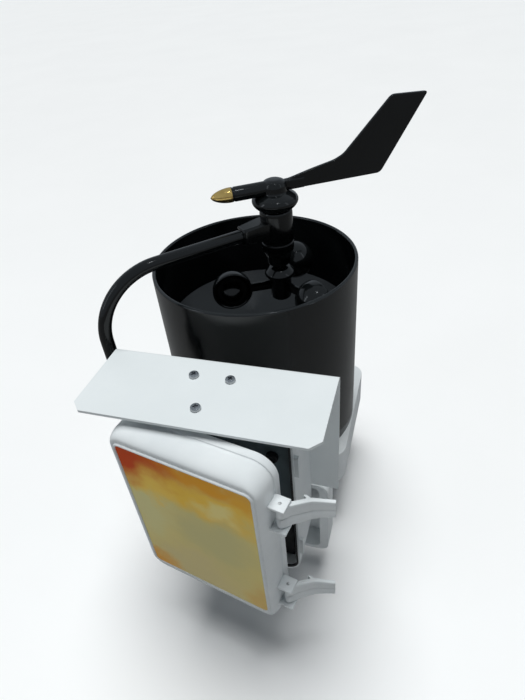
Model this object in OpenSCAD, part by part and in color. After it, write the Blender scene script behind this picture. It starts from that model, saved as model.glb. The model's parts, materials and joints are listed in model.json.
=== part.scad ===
// Compact weather instrument: wind vane and cup anemometer on a bent arm over a
// rain collector, with a hooded, latched electronics enclosure and a mast socket.
// Origin: on the mast's axis, half way up the socket's clamped length. +X is the
// latch side, -Y the enclosure door, +Z up.

/* [Collector] */
// Outside radius of the rain collector
bucket_r = 86; // [72:1:103]
// Height of the collector wall
bucket_h = 169; // [141:1:203]
// Thickness of the collector wall
bucket_wall = 3; // [2.5:0.5:3.5]
// Vertical fall of the funnel from its edge to its throat
funnel_fall = 48; // [40:1:52]
// Radius of the funnel's throat
throat_r = 12; // [10:0.5:14]
// Length of the spout under the throat
spout_len = 12; // [8:1:16]
// Radius of the debris screen lying in the funnel
screen_r = 20; // [17:1:28]

/* [Base] */
// Height of the collector's base
base_h = 37; // [31:1:44]
// How far the base stands out beyond the collector on each side
base_margin = 1; // [0:0.5:3]
// Distance from the collector's axis to the base's front face
base_front = 57; // [52:1:60]
// Distance from the collector's axis to the base's back face
base_back = 75; // [70:1:90]
// Wall and top thickness of the base
base_wall = 3; // [2.5:0.5:4]
// Radius of the drain holes
drain_r = 7; // [5:0.5:8]

/* [Mast socket] */
// Radius of the mast that the socket takes
mast_r = 21.1; // [17.6:0.1:24]
// Clamped length of the socket below the base
socket_len = 70; // [58:1:84]
// Wall thickness of the socket
socket_wall = 4.9; // [4:0.1:6]
// Width of the clamping slit
slit_w = 3; // [2:0.5:4]

/* [Rain spoon] */
// Half length of the tipping spoon
spoon_half = 30; // [26:1:32]
// Width of the tipping spoon
spoon_w = 18; // [14:1:20]
// Height of the pivot above the base
pivot_h = 20; // [18:1:22]
// Height from the pivot up to the end of the funnel's spout
spoon_room = 30; // [26:1:34]
// Tip angle either side of level
spoon_tip = 12; // [10:1:14]

/* [Hood] */
// Width of the sheet-metal hood bracket
hood_w = 167; // [158:1:200]
// Depth of the hood's top plate
hood_d = 66.4; // [60:0.1:75]
// Sheet thickness
hood_t = 2; // [1.5:0.1:2.2]
// Drop of the hood below the collector's rim
hood_drop = 22; // [15:1:26]
// Gap between the collector wall and the back plate
hood_gap = 23; // [21:1:30]
// Cut on the two front corners
corner_cut = 7; // [4:0.5:10]

/* [Enclosure] */
// Width of the enclosure
box_w = 116; // [112:1:124]
// Height of the enclosure
box_h = 168; // [160:1:186]
// Depth of the enclosure's tray
tray_d = 46; // [44:1:52]
// Wall thickness of the mouldings
wall = 3; // [2.5:0.1:3.2]
// Corner radius of the enclosure seen from the front
box_r = 13; // [11:0.5:15]

/* [Door] */
// Thickness of the door from its back edge to its face
door_d = 25; // [20:0.5:28]
// Angle that the door stands open at rest
door_rest = 11; // [5:1:20]
// Width of the label
label_w = 99.6; // [90:0.1:102]
// Height of the label
label_h = 136.6; // [120:0.1:140]
// Height of the label's centre above the door's
label_rise = 4; // [0:0.5:4]
// Distance of the label's centre from the door's, toward the latches
label_aside = 1.5; // [0:0.1:1.5]
// Depth of the label's recess
label_recess = 1.2; // [0.8:0.1:1.5]

/* [Latches] */
// Distance from the enclosure's side to the latch pin
latch_out = 5; // [4.6:0.1:6]
// Height of a latch lever
lever_h = 20; // [12:0.5:22]
// Thickness of a latch lever
lever_t = 3.2; // [2.8:0.1:3.6]
// Length of the lever's straight part
lever_a = 19; // [18:0.5:22]
// Length of the lever's finger part
lever_b = 15; // [12:0.5:18]
// Outward set of the finger part
lever_set = 20; // [15:1:28]
// Angle that the levers stand open at rest
lever_rest = 52; // [40:1:65]

/* [Enclosure bracket] */
// Width of the moulded bracket behind the enclosure
bracket_w = 149; // [140:1:156]
// Height of its top above the base's top
bracket_rise = 24; // [20:1:26]
// Height of its tub
bracket_h = 93; // [84:1:100]
// Width of its side rails
rail_w = 7.5; // [5:0.5:9]

/* [Anemometer arm] */
// Radius of the arm tube
arm_r = 5; // [4.5:0.1:6]
// Wall thickness of the arm tube
arm_wall = 1.2; // [0.8:0.1:1.6]
// Radius of the arm's bend
bend_r = 50; // [42:1:60]
// Height of the arm above the rim
arm_z = 29; // [26:1:32]

/* [Head] */
// Radius of the head's neck
neck_r = 13; // [12:0.5:14]
// Radius of the vane shaft
vane_shaft_r = 2.4; // [2:0.1:3]
// Radius of the cup shaft
cup_shaft_r = 1.5; // [1.2:0.1:2]

/* [Vane] */
// Heading of the vane at rest
vane_heading = 32; // [0:1:90]
// Height of the boom above the rim
boom_z = 60; // [59:0.5:61]
// Radius of the boom
boom_r = 5.5; // [5:0.1:6]
// Length of the nose and boom ahead of the axis
nose_reach = 49.5; // [42:0.5:56]
// Length of the brass nose
nose_len = 16; // [13:1:20]
// Distance from the axis to the fin's farthest tip
fin_reach = 122; // [104:1:146]
// Height of the fin's tip above the boom's axis
fin_rise = 52; // [44:1:62]
// Thickness of the fin
fin_t = 2.6; // [2:0.1:3.2]

/* [Cups] */
// Outside radius of a cup
cup_r = 17; // [14.5:0.1:20]
// Distance from the axis to a cup's centre
cup_arm = 42; // [38:0.5:46]
// Wall thickness of a cup
cup_wall = 1.3; // [1:0.1:1.8]
// Heading of the first cup at rest
cup_heading = -153; // [-180:1:180]
// Depth of the cup plane below the rim
cup_drop = 24; // [23:0.5:27]
// Gap between the swept cups and the collector's inner wall
cup_gap = 3; // [2:0.5:6]

/* [Fits] */
// Radial clearance of running shafts
running = 0.05; // [0.02:0.01:0.09]
// Gap between parts that must never touch
clear = 0.4; // [0.3:0.05:0.6]

/* [Hidden] */
$fn = 64;

white = [0.88, 0.90, 0.91];
black = [0.07, 0.07, 0.08];
steel = [0.70, 0.71, 0.72];
brass = [0.80, 0.62, 0.25];
slate = [0.24, 0.28, 0.31];

// Heights
base_bottom = socket_len / 2;
base_top = base_bottom + base_h;
rim_z = base_top + bucket_h;
hood_top = rim_z - hood_drop;
spacer_t = 4;
box_top = hood_top - hood_t - spacer_t;
box_cz = box_top - box_h / 2;
bracket_top = base_top + bracket_rise;
hood_back_h = hood_top - bracket_top - 3;
bracket_cz = bracket_top - bracket_h / 2;

// Collector
bucket_in = bucket_r - bucket_wall;
throat_z = base_top + pivot_h + spoon_room + spout_len;
funnel_z = throat_z + funnel_fall;
funnel_slope = funnel_fall / (bucket_in - throat_r);
funnel_t = 2.4;

// Base
base_half = bucket_r + base_margin;
base_r = 14;
boss_half = 45;
drain_x = spoon_half + 6;

// Planes behind the collector's front, counted towards the door
back_y = -(bucket_r + hood_gap);
plate_y = back_y - hood_t;
tray_front = plate_y - tray_d;
door_gap = 0.6;
door_back = tray_front - door_gap;
door_front = door_back - door_d;
hood_cx = 7.5;
hood_x0 = hood_cx - hood_w / 2;
box_cx = hood_cx + 3.5;
box_x0 = box_cx - box_w / 2;
box_x1 = box_cx + box_w / 2;
label_cx = box_cx + label_aside;
label_cz = box_cz + label_rise;
tub_front = back_y - 1;
tub_back = -bucket_r - 2;

// Hinge and latch axes with the door closed
hinge_x = box_x0 - 4;
hinge_y = (tray_front + door_back) / 2;
knuckle_r = 3.5;
hinge_pin_r = 1.5;
hinge_z = [box_top - 32, box_top - box_h + 36];
latch_x = box_x1 + latch_out;
latch_y = door_back - 11;
latch_top = [box_top - 27, box_top - 122];
latch_pin_r = 1.2;
ear_t = 2;
ear_half = 5.5;
keeper_out = latch_out - lever_t / 2 - clear;
hook_y = 15.3 + clear;

// Anemometer axis and arm
cup_sweep = cup_arm + cup_r;
head_x = bucket_in - cup_sweep - cup_gap;
head_y = 2;
post_x = hood_x0 - 10.5;
post_y = back_y + 3.5;
arm_heading = atan2(post_y - head_y, post_x - head_x);
arm_reach = sqrt(pow(post_x - head_x, 2) + pow(post_y - head_y, 2));
post_foot = hood_top - 62;
clamp_h = 24;
head_split = arm_z - 13;
neck_top = 43;
hub_bottom = neck_top + 1.4;

// Rain spoon
pivot_z = base_top + pivot_h;
spoon_pin_r = 1.5;
spoon_floor = 2;
spoon_rise = 4;
spoon_peak = 14;
stop_at = 24;
stop_under = spoon_floor + stop_at * spoon_rise / spoon_half;
stop_x = stop_at * cos(spoon_tip) + stop_under * sin(spoon_tip);
stop_top = pivot_z + stop_under * cos(spoon_tip) - stop_at * sin(spoon_tip) - clear / 2;
cradle_gap = 2;

// Battery and board inside the tray
tray_floor = plate_y - wall;
panel_y = tray_front + 6;
panel_h = 96;
batt_w = 72;
batt_h = 56;
batt_d = 33;
batt_x0 = box_x1 - wall - 4 - batt_w;
batt_top = box_top - box_h + wall + 2 + batt_h;
board_y = tray_floor - 26;

module rounded_rect(w, h, r) {
    square([w - 2 * r, h], center = true);
    square([w, h - 2 * r], center = true);
    for (x = [-1, 1], z = [-1, 1])
        translate([x * (w / 2 - r), z * (h / 2 - r)]) circle(r);
}

// Upright rounded slab that ends at y_back and comes forward by depth
module front_slab(cx, cz, w, h, r, y_back, depth) {
    translate([cx, y_back, cz]) rotate([90, 0, 0]) linear_extrude(depth) rounded_rect(w, h, r);
}

// Rod along +Y from the current origin
module rod_y(r, len) {
    rotate([-90, 0, 0]) cylinder(r = r, h = len);
}

// Rod along +X from the current origin
module rod_x(r, len) {
    rotate([0, 90, 0]) cylinder(r = r, h = len);
}

// Pan-head screw: head above z = 0, shank below
module pan_screw(shank_r, shank_len, head_r, head_h) {
    cylinder(r = head_r, h = head_h * 0.6);
    translate([0, 0, head_h * 0.6]) cylinder(r = head_r * 0.78, h = head_h * 0.4);
    translate([0, 0, -shank_len]) cylinder(r = shank_r, h = shank_len + 0.1);
}

module door_pose() {
    translate([hinge_x, hinge_y, 0]) rotate(-door_rest) translate([-hinge_x, -hinge_y, 0]) children();
}

module at_head() {
    translate([head_x, head_y, rim_z]) children();
}

module at_vane() {
    at_head() rotate(vane_heading) children();
}

module at_arm() {
    at_head() rotate(arm_heading) children();
}

// ---- rain collector ----

module collector_bucket() {
    color(black) rotate_extrude() {
        translate([bucket_in, base_top]) square([bucket_wall, bucket_h - bucket_wall / 2]);
        translate([bucket_in + bucket_wall / 2, rim_z - bucket_wall / 2]) circle(bucket_wall / 2);
        polygon([[bucket_in + 0.2, funnel_z], [bucket_in + 0.2, funnel_z - funnel_t],
            [throat_r, throat_z - funnel_t], [throat_r, throat_z]]);
        translate([throat_r - 2, throat_z - spout_len]) square([2.2, spout_len + 0.1]);
    }
}

module debris_screen() {
    screen_z = throat_z + (screen_r - throat_r) * funnel_slope + 0.3;
    color(black) translate([0, 0, screen_z]) difference() {
        cylinder(r = screen_r, h = 2);
        for (ring = [[6, 5.5], [12, 11.5], [12, 16.5]])
            for (i = [0 : ring[0] - 1])
                rotate(i * 360 / ring[0]) translate([ring[1], 0, -1]) cylinder(r = 1.5, h = 4);
    }
}

module base_outline(inset) {
    w = 2 * (base_half - inset);
    d = base_front + base_back - 2 * inset;
    translate([0, (base_back - base_front) / 2]) rounded_rect(w, d, base_r - inset);
}

module collector_base() {
    color(white) difference() {
        union() {
            translate([0, 0, base_bottom]) linear_extrude(base_h) base_outline(0);
            translate([-boss_half, tub_back, base_bottom])
                cube([2 * boss_half, -base_front - tub_back + 0.5, base_h]);
            intersection() {
                translate([0, 0, base_top - 1]) cylinder(r = bucket_in - clear, h = 4);
                translate([0, 0, base_top - 2]) linear_extrude(8) base_outline(0);
            }
        }
        translate([0, 0, base_bottom - 1])
            linear_extrude(base_h - base_wall + 1) base_outline(base_wall);
        translate([0, 0, base_top]) cylinder(r = bucket_in - clear - 2, h = 8);
        translate([-boss_half + 16, tub_back + 5, base_bottom - 1])
            cube([2 * (boss_half - 16), -base_front - tub_back - 5, base_h - 4]);
        for (x = [-drain_x, drain_x])
            translate([x, 0, base_top - base_wall - 1]) cylinder(r = drain_r, h = base_wall + 2);
        for (p = socket_bolts)
            translate([p[0], p[1], base_top - base_wall - 1]) cylinder(r = 2.6, h = base_wall + 2);
        for (p = bracket_bolts)
            translate([p[0], tub_back - 1, p[1]]) rod_y(2.4, 14);
    }
}

module drain_screens() {
    color(black) for (x = [-drain_x, drain_x]) translate([x, 0, base_top - base_wall])
        difference() {
            cylinder(r = drain_r - 0.1, h = 1.6);
            for (i = [0 : 5]) rotate(i * 60) translate([drain_r * 0.55, 0, -1]) cylinder(r = 1.1, h = 4);
            translate([0, 0, -1]) cylinder(r = 1.1, h = 4);
        }
}

module bubble_level() {
    color("yellowgreen") translate([-55, 30, base_top]) {
        cylinder(r = 7, h = 4);
        translate([0, 0, 4]) cylinder(r = 5.5, h = 2);
    }
}

// ---- tipping spoon ----

module spoon_cradle() {
    y_in = spoon_w / 2 + cradle_gap;
    color(black) difference() {
        union() {
            translate([-10, -y_in - 4, base_top]) cube([20, 2 * (y_in + 4), 3]);
            for (y = [-y_in - 4, y_in]) translate([-6, y, base_top]) {
                cube([12, 4, pivot_h]);
                translate([6, 0, pivot_h]) rod_y(6, 4);
            }
        }
        translate([0, -y_in - 5, pivot_z]) rod_y(spoon_pin_r + running, 2 * (y_in + 5));
    }
}

module spoon_pin() {
    y_out = spoon_w / 2 + cradle_gap + 5;
    color(steel) translate([0, -y_out, pivot_z]) rod_y(spoon_pin_r, 2 * y_out);
}

// A pocket for water on one side of the divider
module spoon_pocket() {
    translate([0, spoon_w / 2 - 1.5, 0]) rotate([90, 0, 0]) linear_extrude(spoon_w - 3)
        polygon([[1, spoon_floor + 1.6], [spoon_half + 5, spoon_floor + spoon_rise + 2.2],
            [spoon_half + 5, spoon_peak + 6], [1, spoon_peak + 6]]);
}

module at_spoon() {
    translate([0, 0, pivot_z]) rotate([0, spoon_tip, 0]) children();
}

module tipping_spoon() {
    color("gainsboro") at_spoon() difference() {
        union() {
            translate([0, spoon_w / 2, 0]) rotate([90, 0, 0]) linear_extrude(spoon_w)
                polygon([[-spoon_half, spoon_floor + spoon_rise], [0, spoon_floor],
                    [spoon_half, spoon_floor + spoon_rise], [0, spoon_peak]]);
            translate([0, -spoon_w / 2, 0]) rod_y(3.4, spoon_w);
            translate([-3, -4, -8]) cube([6, 8, 8]);
        }
        spoon_pocket();
        mirror([1, 0, 0]) spoon_pocket();
        translate([0, -spoon_w / 2 - 1, 0]) rod_y(spoon_pin_r, spoon_w + 2);
        translate([0, 0, -9]) cylinder(r = 2, h = 5);
    }
}

module spoon_magnet() {
    color(steel) at_spoon() translate([0, 0, -8]) cylinder(r = 2, h = 4);
}

module rain_switch() {
    color("darkgreen") translate([-5, -9, base_top + 3]) cube([10, 18, 1.6]);
    color("silver") translate([0, -6, base_top + 6]) rod_y(1.5, 12);
}

module stop_screws() {
    color(brass) for (s = [-1, 1]) translate([s * stop_x, 0, base_top]) {
        cylinder(r = 4, h = 4, $fn = 6);
        cylinder(r = 2, h = stop_top - base_top);
    }
}

// ---- mast socket ----

flange_top = base_top - base_wall;
flange_t = 6;
socket_out = mast_r + socket_wall;
ear_y = socket_out + 10;
socket_bolts = [for (x = [-14, 14], y = [-38, 38]) [x, y]];
clamp_bolt_z = [-socket_len / 2 + 14, socket_len / 2 - 22];

module mast_socket() {
    slit_h = socket_len - 8;
    color(white) difference() {
        union() {
            translate([0, 0, -socket_len / 2]) cylinder(r = socket_out, h = flange_top + socket_len / 2);
            translate([-22, -46, flange_top - flange_t]) cube([44, 92, flange_t]);
            translate([-slit_w / 2 - 7, -ear_y - 7, -socket_len / 2])
                cube([slit_w + 14, ear_y + 7, slit_h - 4]);
        }
        translate([0, 0, -socket_len / 2 - 1])
            cylinder(r = mast_r + running, h = flange_top - flange_t + socket_len / 2 + 1);
        translate([-slit_w / 2, -ear_y - 8, -socket_len / 2 - 1]) cube([slit_w, ear_y + 8, slit_h + 1]);
        for (z = clamp_bolt_z) translate([-slit_w / 2 - 8, -ear_y, z]) rod_x(3.2, slit_w + 16);
        for (p = socket_bolts) translate([p[0], p[1], flange_top - flange_t - 1])
            cylinder(r = 2.5, h = flange_t + 2);
    }
}

module socket_screws() {
    color(steel) for (p = socket_bolts) translate([p[0], p[1], base_top])
        pan_screw(2.45, base_wall + flange_t + 3, 4.5, 3);
}

module clamp_bolts() {
    color(steel) for (z = clamp_bolt_z) translate([slit_w / 2 + 7, -ear_y, z]) {
        rod_x(5.5, 4);
        translate([-slit_w - 21, 0, 0]) rod_x(3, slit_w + 21.1);
    }
}

module clamp_nuts() {
    color(steel) for (z = clamp_bolt_z) translate([-slit_w / 2 - 12, -ear_y, z]) difference() {
        rotate([0, 90, 0]) cylinder(r = 5.7, h = 5, $fn = 6);
        translate([-1, 0, 0]) rod_x(3, 7);
    }
}

// ---- bracket behind the enclosure ----

bracket_bolts = [for (x = [-37, 37], z = [base_bottom + 9, base_top - 9]) [x, z]];
tongue_half = 28;
tongue_h = 46;
tongue_bolts = [for (x = [-18, 18]) [hood_cx + x, bracket_top + 34]];
box_bolts = [for (x = [-40, 40]) [box_cx + x, bracket_top + 17]];

module enclosure_bracket() {
    depth = tub_back - tub_front;
    color(white) difference() {
        union() {
            front_slab(hood_cx + 0.5, bracket_cz, bracket_w, bracket_h, 9, tub_back, depth);
            translate([hood_cx - tongue_half, back_y, bracket_top - 8])
                cube([2 * tongue_half, 4, tongue_h + 8]);
        }
        front_slab(hood_cx + 0.5, bracket_cz, bracket_w - 2 * rail_w, bracket_h - 8, 5,
            tub_back - 4, depth);
        for (p = bracket_bolts) translate([p[0], tub_back - 6, p[1]]) rod_y(3.3, 8);
        for (p = tongue_bolts) translate([p[0], back_y - 1, p[1]]) rod_y(2, 6);
    }
}

module bracket_screws() {
    color(steel) for (p = bracket_bolts) translate([p[0], tub_back - 4, p[1]])
        rotate([90, 0, 0]) pan_screw(2.35, 15, 6, 4);
}

// ---- hood ----

hood_bolts = [[hood_cx - 13.2, back_y - 20], [hood_cx + 13.2, back_y - 20], [hood_cx, back_y - 49.5]];
clamp_bolts_x = hood_x0 + 10;
clamp_screw_z = [post_foot + 6, post_foot + 18];

module hood_bracket() {
    bend = 4;
    x1 = hood_x0 + hood_w;
    y0 = back_y - hood_d;
    color(white) difference() {
        union() {
            translate([0, 0, hood_top - hood_t]) linear_extrude(hood_t)
                polygon([[hood_x0, back_y - bend], [hood_x0, y0 + corner_cut], [hood_x0 + corner_cut, y0],
                    [x1 - corner_cut, y0], [x1, y0 + corner_cut], [x1, back_y - bend]]);
            translate([hood_x0, plate_y, hood_top - hood_back_h])
                cube([hood_w, hood_t, hood_back_h - bend]);
            intersection() {
                translate([hood_x0, back_y - bend, hood_top - bend]) difference() {
                    rod_x(bend, hood_w);
                    translate([-1, 0, 0]) rod_x(bend - hood_t, hood_w + 2);
                }
                translate([hood_x0 - 1, back_y - bend, hood_top - bend]) cube([hood_w + 2, 9, 9]);
            }
        }
        for (p = hood_bolts) translate([p[0], p[1], hood_top - hood_t - 1]) cylinder(r = 2.1, h = 4);
        for (p = tongue_bolts) translate([p[0], plate_y - 1, p[1]]) rod_y(2.1, 4);
        for (p = box_bolts) translate([p[0], plate_y - 1, p[1]]) rod_y(2.1, 4);
        for (z = clamp_screw_z) translate([clamp_bolts_x, plate_y - 1, z]) rod_y(2.1, 4);
    }
}

module hood_screws() {
    color(steel) {
        for (i = [0, 1]) translate([hood_bolts[i][0], hood_bolts[i][1], hood_top])
            pan_screw(2, hood_t + spacer_t + wall + 4.5, 3.6, 2.5);
        translate([hood_bolts[2][0], hood_bolts[2][1], hood_top])
            pan_screw(2, hood_t + spacer_t - 1, 3.6, 2.5);
    }
}

module hood_spacer() {
    color(black) difference() {
        translate([hood_cx - 22, back_y - 56, box_top]) cube([44, 50, spacer_t]);
        for (p = hood_bolts) translate([p[0], p[1], box_top - 1]) cylinder(r = 2.05, h = spacer_t + 2);
    }
}

module hood_nuts() {
    color(steel) for (i = [0, 1])
        translate([hood_bolts[i][0], hood_bolts[i][1], box_top - wall - 3.2]) difference() {
            cylinder(r = 4, h = 3.2, $fn = 6);
            translate([0, 0, -1]) cylinder(r = 2, h = 6);
        }
}

// Screws through the back plate: two into the bracket's tongue, two into the tray
module plate_screws() {
    color(steel) {
        for (p = tongue_bolts) translate([p[0], plate_y, p[1]]) rod_y(1.95, 9);
        for (p = box_bolts) translate([p[0], back_y, p[1]]) rotate([-90, 0, 0])
            pan_screw(1.95, hood_t + wall + 4, 3.6, 2.5);
    }
}

// ---- enclosure ----

post_xz = [for (x = [-1, 1], z = [36, 92]) [box_cx + x * (box_w / 2 - 16), box_top - z]];
standoff_xz = [for (x = [-32, 32], z = [22, 84]) [box_cx + x, box_top - z]];
gland_x = box_x0 + 20;
gland_y = plate_y - tray_d / 2;

module tray_knuckles() {
    for (z = hinge_z, s = [-1, 1]) translate([hinge_x, hinge_y, z + s * 8.5 - 3.5]) {
        cylinder(r = knuckle_r, h = 7);
        translate([0, door_gap / 2 + 0.2, 0]) cube([5, 5, 7]);
    }
}

module keepers() {
    for (z = latch_top)
        translate([box_x1 - 0.5, latch_y + hook_y - clear - 3, z - ear_t - lever_h + 1])
            cube([keeper_out + 0.5, 3, lever_h - 1]);
}

module enclosure_tray() {
    color(white) difference() {
        union() {
            difference() {
                front_slab(box_cx, box_cz, box_w, box_h, box_r, plate_y, tray_d);
                front_slab(box_cx, box_cz, box_w - 2 * wall, box_h - 2 * wall, box_r - wall,
                    tray_floor, tray_d);
                front_slab(box_cx, box_cz, box_w - wall, box_h - wall, box_r - wall / 2,
                    tray_front + 1.5, 5);
            }
            for (p = post_xz) translate([p[0], panel_y + 2, p[1]]) rod_y(4, tray_floor - panel_y);
            for (p = standoff_xz) translate([p[0], board_y, p[1]]) rod_y(3, tray_floor - board_y + 1);
            for (p = box_bolts) translate([p[0], tray_floor - 6, p[1]]) rod_y(4.5, 7);
            tray_knuckles();
            keepers();
        }
        for (p = post_xz) translate([p[0], panel_y - 1, p[1]]) rod_y(1.5, 14);
        for (p = standoff_xz) translate([p[0], board_y - 1, p[1]]) rod_y(1.2, 10);
        for (p = box_bolts) translate([p[0], tray_floor - 7, p[1]]) rod_y(2, 12);
        for (i = [0, 1]) translate([hood_bolts[i][0], hood_bolts[i][1], box_top - wall - 1])
            cylinder(r = 2.05, h = wall + 2);
        translate([gland_x, gland_y, box_top - box_h - 1]) cylinder(r = 6.05, h = wall + 2);
        for (z = hinge_z) translate([hinge_x, hinge_y, z - 14]) cylinder(r = hinge_pin_r, h = 28);
    }
}

module enclosure_seal() {
    color([0.20, 0.20, 0.21]) difference() {
        front_slab(box_cx, box_cz, box_w - wall - 0.1, box_h - wall - 0.1, box_r - wall / 2,
            tray_front + 1.5, 1.7);
        front_slab(box_cx, box_cz, box_w - 2 * wall, box_h - 2 * wall, box_r - wall,
            tray_front + 2, 4);
    }
}

module inner_panel() {
    color(slate) difference() {
        front_slab(box_cx, box_top - wall - 1 - panel_h / 2, box_w - 2 * wall - 1, panel_h,
            box_r - wall - 0.5, panel_y + 2, 2);
        for (p = post_xz) translate([p[0], panel_y - 1, p[1]]) rod_y(1.6, 5);
    }
}

module panel_knobs() {
    color(black) for (p = post_xz) translate([p[0], panel_y, p[1]]) {
        translate([0, -4, 0]) rod_y(4.4, 4);
        rod_y(1.45, 11);
    }
}

module circuit_board() {
    top = box_top - 16;
    color([0.10, 0.36, 0.22]) difference() {
        union() {
            translate([box_cx - 35, board_y - 1.6, top - 76]) cube([70, 1.6, 76]);
            for (c = [[-20, 20, 14], [6, 24, 10], [-8, 52, 18]])
                translate([box_cx + c[0], board_y - 4, top - c[1] - c[2]]) cube([c[2], 2.5, c[2]]);
        }
        for (p = standoff_xz) translate([p[0], board_y - 3, p[1]]) rod_y(1.3, 5);
    }
}

module board_screws() {
    color(steel) for (p = standoff_xz) translate([p[0], board_y - 1.6, p[1]])
        rotate([90, 0, 0]) pan_screw(1.15, 7, 2.4, 1.6);
}

module battery() {
    color([0.09, 0.09, 0.10]) translate([batt_x0, tray_floor - batt_d, batt_top - batt_h])
        cube([batt_w, batt_d, batt_h]);
}

term_xy = [for (x = [39, 45]) [batt_x0 + x, board_y - 5]];
plug_z = box_top - 16 - 70;

module battery_terminals() {
    color(brass) for (p = term_xy) translate([p[0] - 2.4, p[1] - 0.4, batt_top]) cube([4.8, 0.8, 6]);
}

// A lead from a battery terminal up to the plug on the board
module battery_lead(i, colour) {
    p = term_xy[i];
    color(colour) translate([p[0], p[1], batt_top + 6]) cylinder(r = 1.1, h = plug_z - batt_top - 6);
}

module red_lead() {
    battery_lead(1, "red");
}

module black_lead() {
    battery_lead(0, black);
}

module lead_plug() {
    color("ivory") translate([term_xy[0][0] - 4, board_y - 1.6 - 7, plug_z])
        cube([term_xy[1][0] - term_xy[0][0] + 8, 7, 8]);
}

module cable_gland() {
    z = box_top - box_h;
    color(black) translate([gland_x, gland_y, 0]) difference() {
        union() {
            translate([0, 0, z - 12]) cylinder(r = 8, h = 7);
            translate([0, 0, z - 5]) cylinder(r = 9.5, h = 5, $fn = 6);
            translate([0, 0, z - 0.1]) cylinder(r = 6, h = wall + 7);
            translate([0, 0, z + wall]) cylinder(r = 9.5, h = 4, $fn = 6);
        }
        translate([0, 0, z - 13]) cylinder(r = 3, h = 30);
    }
}

module hinge_pins() {
    color(steel) for (z = hinge_z) translate([hinge_x, hinge_y, z - 12.4])
        cylinder(r = hinge_pin_r, h = 24.8);
}

// ---- door ----

module latch_ears() {
    for (z = latch_top, drop = [0, ear_t + lever_h + 2 * clear])
        translate([box_x1 - 1, latch_y - ear_half, z - drop - ear_t])
            cube([latch_out + ear_half - 0.5, 2 * ear_half, ear_t]);
}

module enclosure_door() {
    h = box_h - 2;
    color(white) door_pose() difference() {
        union() {
            difference() {
                union() {
                    front_slab(box_cx, box_cz, box_w, h, box_r, door_back, door_d - 6);
                    front_slab(box_cx, box_cz, box_w - 5, h - 5, box_r, door_back - 2, door_d - 4);
                    front_slab(box_cx, box_cz, box_w - 9, h - 14, 8, door_back - 2, door_d - 2);
                }
                front_slab(box_cx, box_cz, box_w - 2 * wall - 2, h - 2 * wall - 2, box_r - wall,
                    door_back + 1, door_d - wall - 2);
                front_slab(label_cx, label_cz, label_w + 0.6, label_h + 0.6, 3,
                    door_front + label_recess, 4);
            }
            for (z = hinge_z) translate([hinge_x, hinge_y, z - 4.6]) {
                cylinder(r = knuckle_r, h = 9.2);
                translate([0, -5, 0]) cube([5, 4.5, 9.2]);
            }
            latch_ears();
        }
        for (z = hinge_z) translate([hinge_x, hinge_y, z - 6])
            cylinder(r = hinge_pin_r + running, h = 12);
        for (z = latch_top) translate([latch_x, latch_y, z - 40]) cylinder(r = latch_pin_r, h = 50);
    }
}

module door_label() {
    color("goldenrod") door_pose()
        front_slab(label_cx, label_cz, label_w, label_h, 2.7, door_front + label_recess, 0.5);
}

// ---- latches ----

module latch_lever(top) {
    z = top - ear_t - clear - lever_h;
    color(white) door_pose() translate([latch_x, latch_y, z]) rotate(-lever_rest) difference() {
        union() {
            cylinder(r = 3.1, h = lever_h);
            translate([-lever_t / 2, 0, 0]) cube([lever_t, lever_a, lever_h]);
            translate([0, lever_a, 0]) {
                cylinder(r = lever_t / 2, h = lever_h);
                rotate(-lever_set) translate([-lever_t / 2, 0, 0]) cube([lever_t - 0.6, lever_b, lever_h]);
            }
            translate([-latch_out + clear, hook_y, 0])
                cube([latch_out - clear, 2.8, lever_h]);
        }
        translate([0, 0, -1]) cylinder(r = latch_pin_r + running, h = lever_h + 2);
    }
}

module latch_pin(top) {
    h = 2 * ear_t + lever_h + 2 * clear;
    color(steel) door_pose() translate([latch_x, latch_y, top - h]) cylinder(r = latch_pin_r, h = h);
}

module upper_latch() {
    latch_lever(latch_top[0]);
}

module upper_latch_pin() {
    latch_pin(latch_top[0]);
}

module lower_latch() {
    latch_lever(latch_top[1]);
}

module lower_latch_pin() {
    latch_pin(latch_top[1]);
}

// ---- anemometer arm ----

socket_in = 14;
socket_end = 32;

module anemometer_arm() {
    bend_at = arm_reach - bend_r;
    foot = post_foot - rim_z;
    color(black) at_arm() {
        translate([socket_in, 0, arm_z]) difference() {
            rod_x(arm_r, bend_at - socket_in);
            translate([-1, 0, 0]) rod_x(arm_r - arm_wall, bend_at - socket_in + 2);
        }
        translate([bend_at, 0, arm_z - bend_r]) rotate([90, 0, 0])
            rotate_extrude(angle = 90) translate([bend_r, 0]) difference() {
                circle(arm_r);
                circle(arm_r - arm_wall);
            }
        translate([arm_reach, 0, foot]) difference() {
            cylinder(r = arm_r, h = arm_z - bend_r - foot);
            translate([0, 0, -1]) cylinder(r = arm_r - arm_wall, h = arm_z - bend_r - foot + 2);
        }
    }
}

module arm_clamp() {
    color(black) difference() {
        union() {
            translate([post_x - arm_r - 4, post_y - arm_r - 3, post_foot])
                cube([2 * arm_r + 5, 2 * arm_r + 7, clamp_h]);
            translate([post_x, back_y, post_foot]) cube([hood_x0 + 18 - post_x, 11, clamp_h]);
        }
        translate([post_x, post_y, post_foot - 1]) cylinder(r = arm_r, h = clamp_h + 2);
        for (z = clamp_screw_z) translate([clamp_bolts_x, back_y - 1, z]) rod_y(1.9, 9);
    }
}

module arm_clamp_screws() {
    color(steel) for (z = clamp_screw_z) translate([clamp_bolts_x, plate_y, z])
        rotate([90, 0, 0]) pan_screw(1.85, 9, 3.6, 2.5);
}

// ---- head ----

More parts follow.
